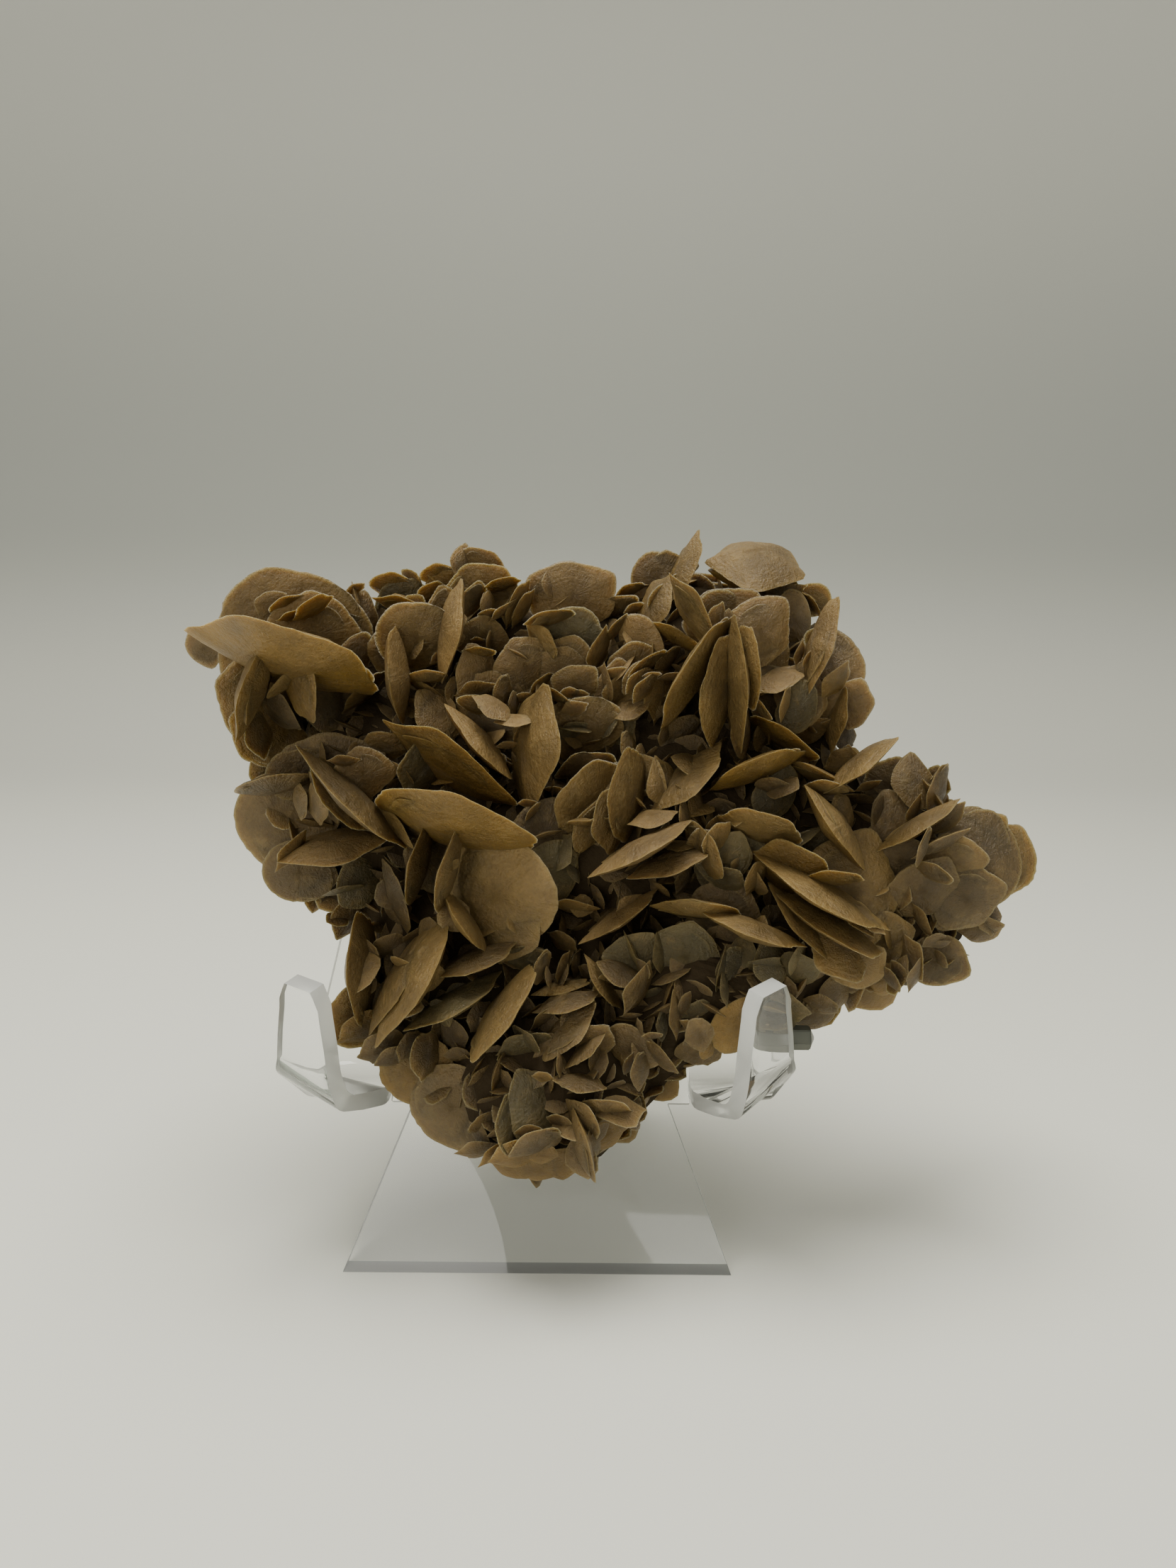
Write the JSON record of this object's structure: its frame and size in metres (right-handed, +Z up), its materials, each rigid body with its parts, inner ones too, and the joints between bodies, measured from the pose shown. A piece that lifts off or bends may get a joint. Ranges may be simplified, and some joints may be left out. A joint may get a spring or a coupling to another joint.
{
  "type": "mineral specimen on easel",
  "caption": "Slab of lens-shaped siderite crystals grown through one another, leaning back on a clear bent acrylic easel with a slanted sheet, curled lips and a rear leg.",
  "frame": {"origin": "middle of the object's box, on the surface it stands on", "axes": "+X across the specimen's face from left to right, -Y the side the face looks to, +Z up"},
  "size_m": [0.152, 0.0764, 0.1205],
  "materials": {
    "siderite": "waxy, slightly translucent lens-shaped crystals, tan to olive brown with honey-coloured thin edges and pale frosted patches",
    "acrylic": "clear polished cast acrylic sheet with flame-polished edges"
  },
  "bodies": {
    "root": {"siderite_cluster": "siderite", "acrylic_stand": "acrylic"}
  },
  "joints": []
}
